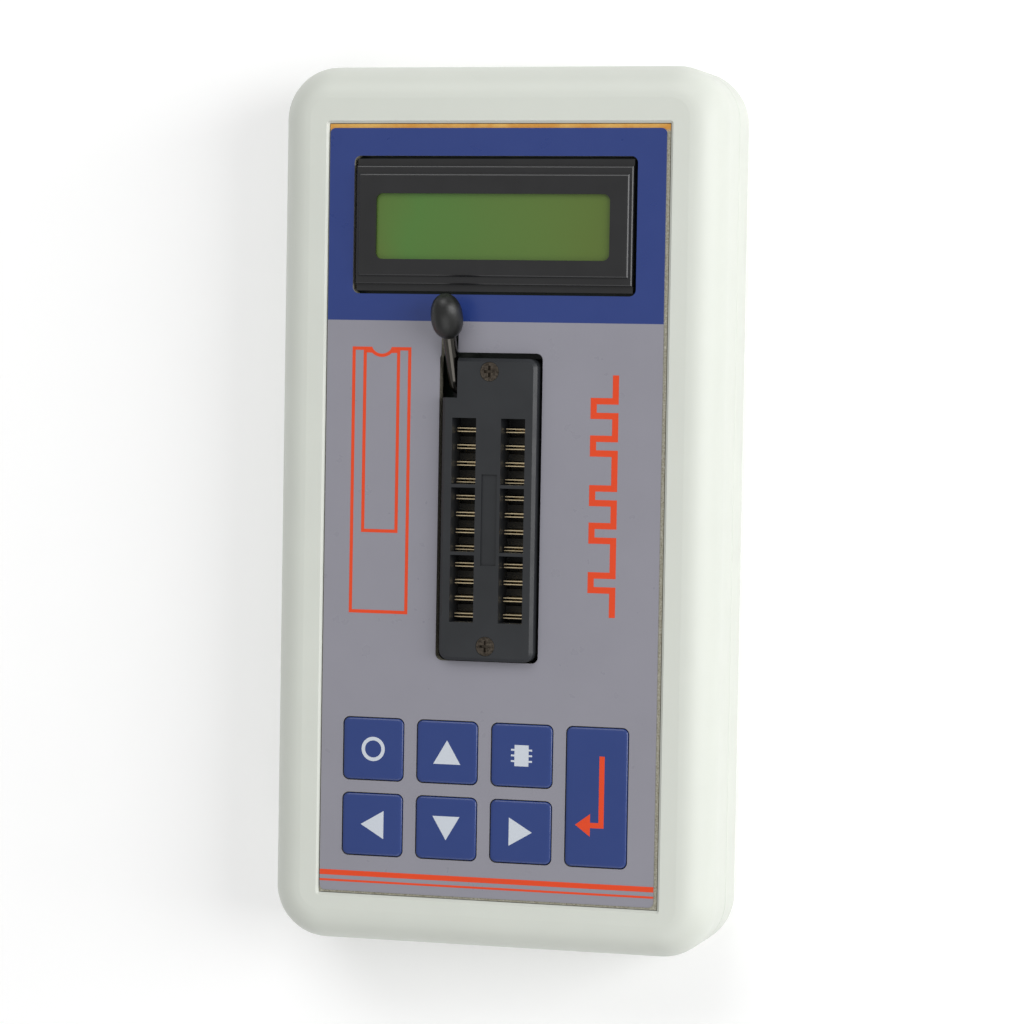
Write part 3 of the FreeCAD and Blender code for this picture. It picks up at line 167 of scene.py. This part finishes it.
def bare_laminate():
    """Glass-fibre board: grey-brown with real pale specks, painted darker on its sides as shade, and a
    brighter warm orange along its display end as painted light.
    """
    paint = Paint("bare_laminate", (0.30, 0.28, 0.21), 0.55)
    weave = paint.noise(4200, 4, 0.6)
    # the board's own weave with pale specks, kept dark grey-brown as painted shade on its sides
    speckled_shaded_sides = paint.ramp(weave, [(0.30, (0.17, 0.15, 0.11)), (0.50, (0.31, 0.30, 0.23)),
                               (0.64, (0.38, 0.36, 0.30)), (0.74, (0.72, 0.70, 0.62))])
    # painted light: a brighter warm orange where the board's display end catches the light
    top = paint.ramp(paint.noise(300, 3), [(0.35, (0.58, 0.26, 0.035)), (0.65, (0.66, 0.38, 0.09))])
    split = paint.tree.nodes.new("ShaderNodeSeparateXYZ")
    paint.link(paint.place, split.inputs["Vector"])
    painted_lit_end_mask = paint.tree.nodes.new("ShaderNodeMapRange")
    painted_lit_end_mask.inputs["From Min"].default_value = ORANGE_FROM
    painted_lit_end_mask.inputs["From Max"].default_value = ORANGE_FULL
    paint.link(split.outputs["Y"], painted_lit_end_mask.inputs["Value"])
    blend = paint.tree.nodes.new("ShaderNodeMixRGB")
    paint.link(painted_lit_end_mask.outputs["Result"], blend.inputs["Fac"])
    paint.link(speckled_shaded_sides, blend.inputs["Color1"]).link(top, blend.inputs["Color2"])
    paint.link(blend.outputs["Color"], paint.shader.inputs["Base Color"])
    paint.bump_from(weave, 0.3, 0.03 * MM)
    return paint.material


def solder_mask():
    paint = plain_paint("solder_mask", (0.010, 0.022, 0.014), 0.35, spread=0.25, scale=500, grain=0.15)
    return paint.coat(0.2, 0.15).material


def black_bezel():
    paint = plain_paint("bezel_black", (0.011, 0.011, 0.012), 0.30, spread=0.1, grain=0.05, depth=0.01)
    return paint.coat(0.3, 0.10).material


def display_green():
    """Matt green polariser, a little more olive towards its short ends."""
    paint = Paint("display_green", (0.09, 0.19, 0.035), 0.34)
    low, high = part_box("display_glass")
    split = paint.tree.nodes.new("ShaderNodeSeparateXYZ")
    paint.link(paint.place, split.inputs["Vector"])
    along = paint.tree.nodes.new("ShaderNodeMapRange")
    along.inputs["From Min"].default_value = low.x
    along.inputs["From Max"].default_value = high.x
    paint.link(split.outputs["X"], along.inputs["Value"])
    cloud = paint.noise(90, 2, 0.5)
    cloud_share = 0.22
    mixed = paint.tree.nodes.new("ShaderNodeMath")
    mixed.operation = "MULTIPLY_ADD"
    mixed.inputs[1].default_value = cloud_share
    paint.link(cloud, mixed.inputs[0]).link(along.outputs["Result"], mixed.inputs[2])
    olive, green = (0.088, 0.142, 0.020), (0.068, 0.170, 0.028)
    paint.colour_from(mixed.outputs[0], [(0.10, olive), (0.32, green), (0.55, (0.078, 0.160, 0.026)),
                                         (0.80, (0.085, 0.155, 0.024)), (1.0, olive)])
    paint.bump_from(paint.noise(5000, 2), 0.04, 0.01 * MM)
    return paint.coat(0.3, 0.08).material


def socket_plastic():
    paint = plain_paint("socket_plastic", (0.017, 0.019, 0.022), 0.46,
                        spread=0.15, scale=700, grain=0.22, depth=0.03)
    return paint.material


def brushed(name, colour, roughness, stretch=(1, 12, 1), spread=0.2):
    """Metal with fine drawn marks, which lie across the axis with the largest stretch."""
    paint = Paint(name, colour, roughness, metallic=1.0)
    dark, light = around(colour, spread)
    marks = paint.noise(2600, 4, 0.6, stretch=stretch)
    paint.colour_from(marks, [(0.3, dark), (0.7, light)])
    paint.roughness_from(marks, roughness * 0.75, roughness * 1.3)
    paint.bump_from(marks, 0.08, 0.01 * MM)
    return paint.material


def knob_plastic():
    paint = plain_paint("knob_plastic", (0.008, 0.0085, 0.008), 0.34,
                        spread=0.3, scale=1800, grain=0.6, depth=0.05)
    return paint.material


MATERIALS = {
    "case_plastic": case_plastic(),
    "film_grey": film_print("film_grey", (0.262, 0.258, 0.298)),
    "film_blue": film_print("film_blue", (0.017, 0.040, 0.190)),
    "key_blue": film_print("key_blue", (0.017, 0.042, 0.185), 0.34),
    "print_orange": film_print("print_orange", (0.72, 0.055, 0.006), 0.35),
    "print_white": film_print("print_white", (0.56, 0.60, 0.66), 0.35),
    "laminate": bare_laminate(),
    "solder_mask": solder_mask(),
    "bezel_black": black_bezel(),
    "display_green": display_green(),
    "light_guide": plain_paint("light_guide", (0.55, 0.62, 0.30), 0.3).material,
    "socket_plastic": socket_plastic(),
    "slider_plastic": plain_paint("slider_plastic", (0.016, 0.017, 0.019), 0.5, grain=0.2).material,
    "contact_gold": brushed("contact_gold", (0.97, 0.78, 0.50), 0.38, stretch=(8, 1, 1), spread=0.1),
    # painted reflection: a very dark base colour stands in for the dark surroundings that the chrome
    # wire mirrors
    "lever_steel": brushed("lever_steel", (0.085, 0.080, 0.072), 0.10, stretch=(12, 1, 1), spread=0.1),
    "socket_screw": brushed("socket_screw", (0.12, 0.10, 0.08), 0.30, stretch=(1, 1, 1), spread=0.5),
    "zinc": brushed("zinc", (0.62, 0.62, 0.60), 0.3, stretch=(1, 1, 1)),
    "spring_steel": brushed("spring_steel", (0.68, 0.67, 0.65), 0.22),
    "knob_plastic": knob_plastic(),
    "chip_plastic": plain_paint("chip_plastic", (0.015, 0.015, 0.016), 0.5, grain=0.3).material,
    "connector_plastic": plain_paint("connector_plastic", (0.02, 0.02, 0.021), 0.42).material,
    "capacitor_sleeve": plain_paint("capacitor_sleeve", (0.02, 0.03, 0.09), 0.25).material,
    "cell_wrap": plain_paint("cell_wrap", (0.03, 0.034, 0.04), 0.22).material,
}

NODE_MATERIALS = {
    "top_shell": "case_plastic",
    "bottom_shell": "case_plastic",
    "battery_door": "case_plastic",
    "case_screws": "zinc",
    "board_screws": "zinc",
    "socket_screws": "socket_screw",
    "panel_board": "laminate",
    "panel_film": "film_grey",
    "display_bezel": "bezel_black",
    "display_glass": "display_green",
    "display_light_guide": "light_guide",
    "display_board": "solder_mask",
    "main_board": "solder_mask",
    "display_header": "connector_plastic",
    "panel_header": "connector_plastic",
    "socket_base": "slider_plastic",
    "socket_slider": "slider_plastic",
    "socket_cover": "socket_plastic",
    "socket_contacts_left": "contact_gold",
    "socket_contacts_right": "contact_gold",
    "lever_wire": "lever_steel",
    "lever_knob": "knob_plastic",
    "microcontroller": "chip_plastic",
    "driver_chip_upper": "chip_plastic",
    "driver_chip_lower": "chip_plastic",
    "voltage_regulator": "chip_plastic",
    "buzzer": "chip_plastic",
    "crystal": "zinc",
    "capacitors": "capacitor_sleeve",
    "battery_plates": "spring_steel",
    "battery_springs": "spring_steel",
}


def node_material(name):
    if name.startswith("key_"):
        return "key_blue"
    if name.startswith("dome_"):
        return "spring_steel"
    if name.startswith("battery_cell"):
        return "cell_wrap"
    return NODE_MATERIALS[name]


for name, node in nodes.items():
    node.data.materials.clear()
    node.data.materials.append(MATERIALS[node_material(name)])


# ---------------------------------------------------------------- mesh helpers

def to_scene(name, data):
    """Puts a mesh, curve, lamp or camera in the scene as an object of the name given."""
    thing = bpy.data.objects.new(name, data)
    bpy.context.scene.collection.objects.link(thing)
    return thing


def as_piece(name, mesh, material, body, smooth):
    """Makes a mesh a piece of the object: its finish and its body."""
    mesh.materials.append(MATERIALS[material])
    mesh.polygons.foreach_set("use_smooth", [smooth] * len(mesh.polygons))
    piece = to_scene(name, mesh)
    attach(piece, body)
    return piece


def add_mesh(name, vertices, faces, material, body):
    """A smooth-shaded piece from its vertices and faces."""
    mesh = bpy.data.meshes.new(name)
    mesh.from_pydata([tuple(vertex) for vertex in vertices], [], faces)
    mesh.update()
    return as_piece(name, mesh, material, body, True)


def from_curve(name, curve, material, body, smooth):
    """Turns a curve into a mesh piece and drops the curve."""
    holder = to_scene(name + "_curve", curve)
    bpy.context.view_layer.update()
    mesh = bpy.data.meshes.new_from_object(holder)
    bpy.data.objects.remove(holder)
    mesh.name = name
    mesh.materials.clear()
    return as_piece(name, mesh, material, body, smooth)


def rounded_loop(x, y, width, length, radius, steps=8):
    """Points round a rectangle with round corners."""
    points = []
    for corner, (side_x, side_y) in enumerate(((1, -1), (1, 1), (-1, 1), (-1, -1))):
        centre_x = x + side_x * (width / 2 - radius)
        centre_y = y + side_y * (length / 2 - radius)
        start = -90 + 90 * corner
        for step in range(steps + 1):
            angle = math.radians(start + 90 * step / steps)
            points.append((centre_x + radius * math.cos(angle), centre_y + radius * math.sin(angle)))
    return points


def arc_loop(x, y, radius, start, end, steps=40):
    """Points along an arc, from one angle to another in degrees."""
    angles = [math.radians(start + (end - start) * step / steps) for step in range(steps + 1)]
    return [(x + radius * math.cos(a), y + radius * math.sin(a)) for a in angles]


def flat_print(name, loops, level, material, body="tester"):
    """A thin printed shape on the level given. Loops are outlines and the holes in them."""
    curve = bpy.data.curves.new(name, "CURVE")
    curve.dimensions = "2D"
    curve.fill_mode = "BOTH"
    curve.extrude = PRINT / 2
    for loop in loops:
        spline = curve.splines.new("POLY")
        spline.points.add(len(loop) - 1)
        for point, (x, y) in zip(spline.points, loop):
            point.co = (x, y, 0, 1)
        spline.use_cyclic_u = True
    piece = from_curve(name, curve, material, body, False)
    piece.data.transform(Matrix.Translation((0, 0, level + PRINT / 2)))


def bar(low_x, low_y, high_x, high_y):
    """The corners of an upright rectangle."""
    return [(low_x, low_y), (high_x, low_y), (high_x, high_y), (low_x, high_y)]


# ---------------------------------------------------------------- film graphics

BAND_LOW = 28.17 * MM
OPENING = (-0.37 * MM, 42.6 * MM, 44.16 * MM, 20.8 * MM, 1.0 * MM)


def build_blue_band():
    """The blue field at the display's end, cut out round the display's opening."""
    corner = 0.8 * MM
    left, right, top = FILM_LOW.x, FILM_HIGH.x, FILM_HIGH.y
    outline = [(left, BAND_LOW), (right, BAND_LOW)]
    outline += arc_loop(right - corner, top - corner, corner, 0, 90, 8)
    outline += arc_loop(left + corner, top - corner, corner, 90, 180, 8)
    flat_print("print_blue_band", [outline, rounded_loop(*OPENING)], FILM_TOP, "film_blue")


def build_stripes():
    """Two orange lines across the foot of the film."""
    for name, y, width in (("thick", -56.02, 0.8), ("thin", -57.2, 0.32)):
        shape = bar(FILM_LOW.x, (y - width / 2) * MM, FILM_HIGH.x, (y + width / 2) * MM)
        flat_print(f"print_stripe_{name}", [shape], FILM_TOP, "print_orange")


def build_chip_outline():
    """A chip's outline: a long frame and a shorter one, with a notch in their shared top edge."""
    line, deep, lift = 0.5 * MM, 0.85 * MM, 0.1 * MM
    left, right = -22.32 * MM, -12.99 * MM
    low, top = -16.23 * MM, 24.16 * MM
    in_left, in_right, in_low = -20.55 * MM, -14.75 * MM, -3.95 * MM
    notch_x, notch = (in_left + in_right) / 2, 1.75 * MM
    sweep = 62
    centre_y = top + notch * math.cos(math.radians(sweep)) - lift
    dip = arc_loop(notch_x, centre_y, notch, -90 + sweep, -90 - sweep, 20)
    under = arc_loop(notch_x, centre_y, notch + line, -90 - sweep, -90 + sweep, 20)
    half = dip[0][0] - notch_x
    shoulders = [(in_left, top), (notch_x - half, top)] + dip[::-1][1:-1]
    shoulders += [(notch_x + half, top), (in_right, top), (in_right, top - deep)]
    shoulders += [point for point in reversed(under) if point[1] < top - deep]
    shoulders.append((in_left, top - deep))
    flat_print("print_chip_shoulders", [shoulders], FILM_TOP, "print_orange")
    for part, corners in (
            ("left", (left, low, left + line, top)),
            ("right", (right - line, low, right, top)),
            ("foot", (left + line, low, right - line, low + line)),
            ("top_left", (left + line, top - line, in_left, top)),
            ("top_right", (in_right, top - line, right - line, top)),
            ("in_left", (in_left, in_low, in_left + line, top - deep)),
            ("in_right", (in_right - line, in_low, in_right, top - deep)),
            ("in_foot", (in_left + line, in_low, in_right - line, in_low + line))):
        flat_print(f"print_chip_{part}", [bar(*corners)], FILM_TOP, "print_orange")


def build_pulse_motif():
    """A pulse wave that runs down the right of the socket, in place of a title."""
    x_low, x_high = 15.1 * MM, 19.4 * MM
    # the length of each level, in mm, from the display's end down
    widths = [3.4, 2.2, 3.4, 2.2, 5.2, 2.2, 3.4, 2.2, 5.2, 2.2, 3.6]
    stroke = 0.95 * MM
    y = 20.0 * MM
    edges = []
    for index, width in enumerate(widths):
        x = x_high - stroke if index % 2 == 0 else x_low
        edges.append((x, y, y - width * MM))
        y -= width * MM
    for index, (x, start, end) in enumerate(edges):
        shape = bar(x, end - stroke / 2, x + stroke, start + stroke / 2)
        flat_print(f"print_pulse_level_{index}", [shape], FILM_TOP, "print_orange")
    for index, (_, _, end) in enumerate(edges[:-1]):
        shape = bar(x_low + stroke, end - stroke / 2, x_high - stroke, end + stroke / 2)
        flat_print(f"print_pulse_step_{index}", [shape], FILM_TOP, "print_orange")


# ---------------------------------------------------------------- keys

# inset from the key's side and rise above its foot, in mm
KEY_PROFILE = [(0.00, 0.00), (0.00, 0.48), (0.05, 0.58), (0.14, 0.65), (0.30, 0.685), (0.60, 0.70),
               (1.10, 0.70)]
KEY_RISE = 0.70
KEY_CORNER, LEAST_CORNER = 0.9 * MM, 0.25 * MM


def build_key(name):
    """An embossed key: a soft round shoulder and a flat top, in place of the plain pad."""
    low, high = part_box(name)
    centre, size = (low + high) / 2, high - low
    rings = []
    for inset, rise in KEY_PROFILE:
        radius = max(KEY_CORNER - inset * MM * 0.6, LEAST_CORNER)
        width, length = size.x - 2 * inset * MM, size.y - 2 * inset * MM
        loop = rounded_loop(centre.x, centre.y, width, length, radius, steps=6)
        rings.append([(x, y, low.z + rise * size.z / KEY_RISE) for x, y in loop])
    count = len(rings[0])
    vertices = [point for ring in rings for point in ring]
    faces = []
    for ring in range(len(rings) - 1):
        here, above = ring * count, (ring + 1) * count
        for index in range(count):
            after = (index + 1) % count
            faces.append((here + index, here + after, above + after, above + index))
    faces.append(tuple(range(above, above + count)))
    faces.append(tuple(reversed(range(count))))
    piece = add_mesh(f"{name}_cap", vertices, faces, "key_blue", name)
    for flat in (-1, -2):
        piece.data.polygons[flat].use_smooth = False
    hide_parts(name)
    return high.z, centre


def legend(key, part, loops, level, material="print_white"):
    """A printed shape on the top of a key, which moves with the key."""
    flat_print(f"{key}_legend_{part}", loops, level, material, key)


def triangle(centre, turn, reach=2.14, depth=3.62):
    """A filled arrow head that points up, turned by a number of degrees."""
    corners = [(-reach, -depth / 2), (reach, -depth / 2), (0, depth / 2)]
    angle = math.radians(turn)
    return [(centre.x + (x * math.cos(angle) - y * math.sin(angle)) * MM,
             centre.y + (x * math.sin(angle) + y * math.cos(angle)) * MM) for x, y in corners]


def build_keys():
    """The seven keys with their legends."""
    tops = {name: build_key(name) for name in nodes if name.startswith("key_")}
    level, centre = tops["key_circle"]
    ring = [arc_loop(centre.x, centre.y, radius, 0, 360)[:-1] for radius in (1.85 * MM, 1.3 * MM)]
    legend("key_circle", "ring", ring, level)
    for name, turn in (("key_up", 0), ("key_left", 90), ("key_down", 180), ("key_right", 270)):
        level, centre = tops[name]
        legend(name, "arrow", [triangle(centre, turn)], level)
    build_chip_legend(*tops["key_chip"])
    build_enter_legend(*tops["key_enter"])


def build_chip_legend(level, centre):
    """A small chip symbol: a body with three legs on each side."""
    half, tall, leg, pitch, thick = 1.1 * MM, 1.6 * MM, 0.55 * MM, 0.85 * MM, 0.14 * MM
    body = bar(centre.x - half, centre.y - tall, centre.x + half, centre.y + tall)
    legend("key_chip", "square", [body], level)
    for row in (-1, 0, 1):
        y = centre.y + row * pitch
        for side in (-1, 1):
            start = centre.x + side * half
            end = start + side * leg
            shape = bar(min(start, end), y - thick, max(start, end), y + thick)
            legend("key_chip", f"leg_{row + 1}_{side + 1}", [shape], level)


def build_enter_legend(level, centre):
    """A return arrow in orange, drawn along the tall key."""
    stroke, reach, half_head = 0.8 * MM, 2.3 * MM, 1.7 * MM
    x, left = centre.x + 1.2 * MM, centre.x - 0.9 * MM
    top, foot = centre.y + 6.2 * MM, centre.y - 4.6 * MM
    shaft = [(x, top), (x, foot), (left, foot), (left, foot + stroke), (x - stroke, foot + stroke),
             (x - stroke, top)]
    legend("key_enter", "shaft", [shaft], level, "print_orange")
    middle_y = foot + stroke / 2
    head = [(left, middle_y - half_head), (left, middle_y + half_head), (left - reach, middle_y)]
    legend("key_enter", "head", [head], level, "print_orange")


# ---------------------------------------------------------------- lever

lever = next(joint for joint in frame["joints"] if joint["name"] == "lever_turn")
PIVOT = Vector(lever["pos_m"])
TO_KNOB = (middle("lever_knob") - PIVOT) * Vector((0, 1, 1))
ARM, ARM_LENGTH = TO_KNOB.normalized(), TO_KNOB.length
ACROSS = Vector((1, 0, 0))


def build_lever_wire():
    """One bent wire: the cross shaft, a round bend and the arm."""
    shaft_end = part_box("lever_wire")[1].x
    radius, bend, short_of_middle = 1.0 * MM, 1.4 * MM, 1.0 * MM
    steps = 10
    points = [Vector((shaft_end, PIVOT.y, PIVOT.z)), PIVOT + ACROSS * bend]
    corner = PIVOT + (ACROSS + ARM) * bend
    for step in range(1, steps + 1):
        angle = math.radians(90 * step / steps)
        points.append(corner - (ACROSS * math.sin(angle) + ARM * math.cos(angle)) * bend)
    points.append(PIVOT + ARM * (ARM_LENGTH - short_of_middle))
    curve = bpy.data.curves.new("lever_bent_wire", "CURVE")
    curve.dimensions = "3D"
    curve.bevel_depth = radius
    curve.bevel_resolution = 6
    curve.use_fill_caps = True
    spline = curve.splines.new("POLY")
    spline.points.add(len(points) - 1)
    for target, point in zip(spline.points, points):
        target.co = (*point, 1)
    piece = from_curve("lever_bent_wire", curve, "lever_steel", "lever", True)
    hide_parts("lever_wire")


def build_knob():
    """An egg-shaped knob, fuller towards its stem, with a small moulding mark on the tip."""
    half, radius = 3.60 * MM, 2.42 * MM
    squareness, taper, fullest = 2.4, 0.035, 1.006
    mark_from, mark_deep, tip_deep = 0.975, 0.22 * MM, 0.28 * MM
    turns, rings = 40, 26
    upright = ARM.cross(ACROSS)
    centre = PIVOT + ARM * ARM_LENGTH
    vertices = [centre - ARM * half]
    for ring in range(1, rings):
        share = -math.cos(math.pi * ring / rings)
        width = radius / fullest * (1 - abs(share) ** squareness) ** 0.5 * (1 - taper * share)
        along = half * share
        if share > mark_from:
            along -= mark_deep
        for turn in range(turns):
            angle = 2 * math.pi * turn / turns
            outward = ACROSS * math.cos(angle) + upright * math.sin(angle)
            vertices.append(centre + ARM * along + outward * width)
    vertices.append(centre + ARM * (half - tip_deep))
    faces = []
    last = 1 + (rings - 2) * turns
    for turn in range(turns):
        after = (turn + 1) % turns
        faces.append((0, 1 + turn, 1 + after))
        for ring in range(rings - 2):
            start = 1 + ring * turns
            faces.append((start + turn, start + turns + turn, start + turns + after, start + after))
        faces.append((last + turn, len(vertices) - 1, last + after))
    piece = add_mesh("lever_knob_egg", vertices, faces, "knob_plastic", "lever")
    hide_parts("lever_knob")


# ---------------------------------------------------------------- stage, light and camera

def build_stage():
    """A wide sheet of white paper that glows a little, so that it stays white at its far side."""
    mesh = bpy.data.meshes.new("floor")
    reach = 4.0
    corners = [(x, y, 0) for x, y in bar(-reach, -reach, reach, reach)]
    mesh.from_pydata(corners, [], [(0, 1, 2, 3)])
    floor = to_scene("floor", mesh)
    paint = plain_paint("floor_paper", (0.95, 0.95, 0.95), 0.9, spread=0.004, grain=0.02)
    paint.shader.inputs["Emission Color"].default_value = (1, 1, 1, 1)
    paint.shader.inputs["Emission Strength"].default_value = 0.12
    mesh.materials.append(paint.material)


def add_softbox(name, place, size, power):
    """A soft rectangular lamp that points at the middle of the floor."""
    light = bpy.data.lights.new(name, "AREA")
    light.shape = "RECTANGLE"
    light.size, light.size_y = size
    light.energy = power
    lamp = to_scene(name, light)
    lamp.location = place
    lamp.rotation_euler = (-Vector(place)).to_track_quat("-Z", "Y").to_euler()


def build_light():
    """An even white surround and three soft lamps, the strongest to the right."""
    world = bpy.data.worlds.new("studio")
    bpy.context.scene.world = world
    world.use_nodes = True
    background = world.node_tree.nodes["Background"]
    background.inputs["Color"].default_value = (1.0, 1.0, 0.995, 1)
    background.inputs["Strength"].default_value = 0.42
    add_softbox("key_right", (0.80, 0.10, 0.45), (0.5, 0.9), 6.0)
    add_softbox("fill_top", (-0.15, 0.75, 0.8), (0.8, 0.6), 4.0)
    add_softbox("fill_foot", (0.05, -0.75, 0.7), (0.8, 0.5), 1.6)


def build_camera():
    """A long lens above and to the right of the object, nearly square on to its face."""
    camera = bpy.data.cameras.new("camera")
    camera.lens = 132.5
    camera.sensor_width = 36
    camera.clip_start, camera.clip_end = 0.01, 20
    holder = to_scene("camera", camera)
    place = Vector((156.19, 22.81, 565.71)) * MM
    tilt, turn, roll = math.radians(-2.07), math.radians(15.747), math.radians(0.997)
    holder.matrix_world = Matrix.Translation(place) @ Euler((tilt, turn, roll)).to_matrix().to_4x4()
    bpy.context.scene.camera = holder


bpy.context.scene.view_settings.view_transform = "Standard"
build_blue_band()
build_stripes()
build_chip_outline()
build_pulse_motif()
build_keys()
build_lever_wire()
build_knob()
build_stage()
build_light()
build_camera()
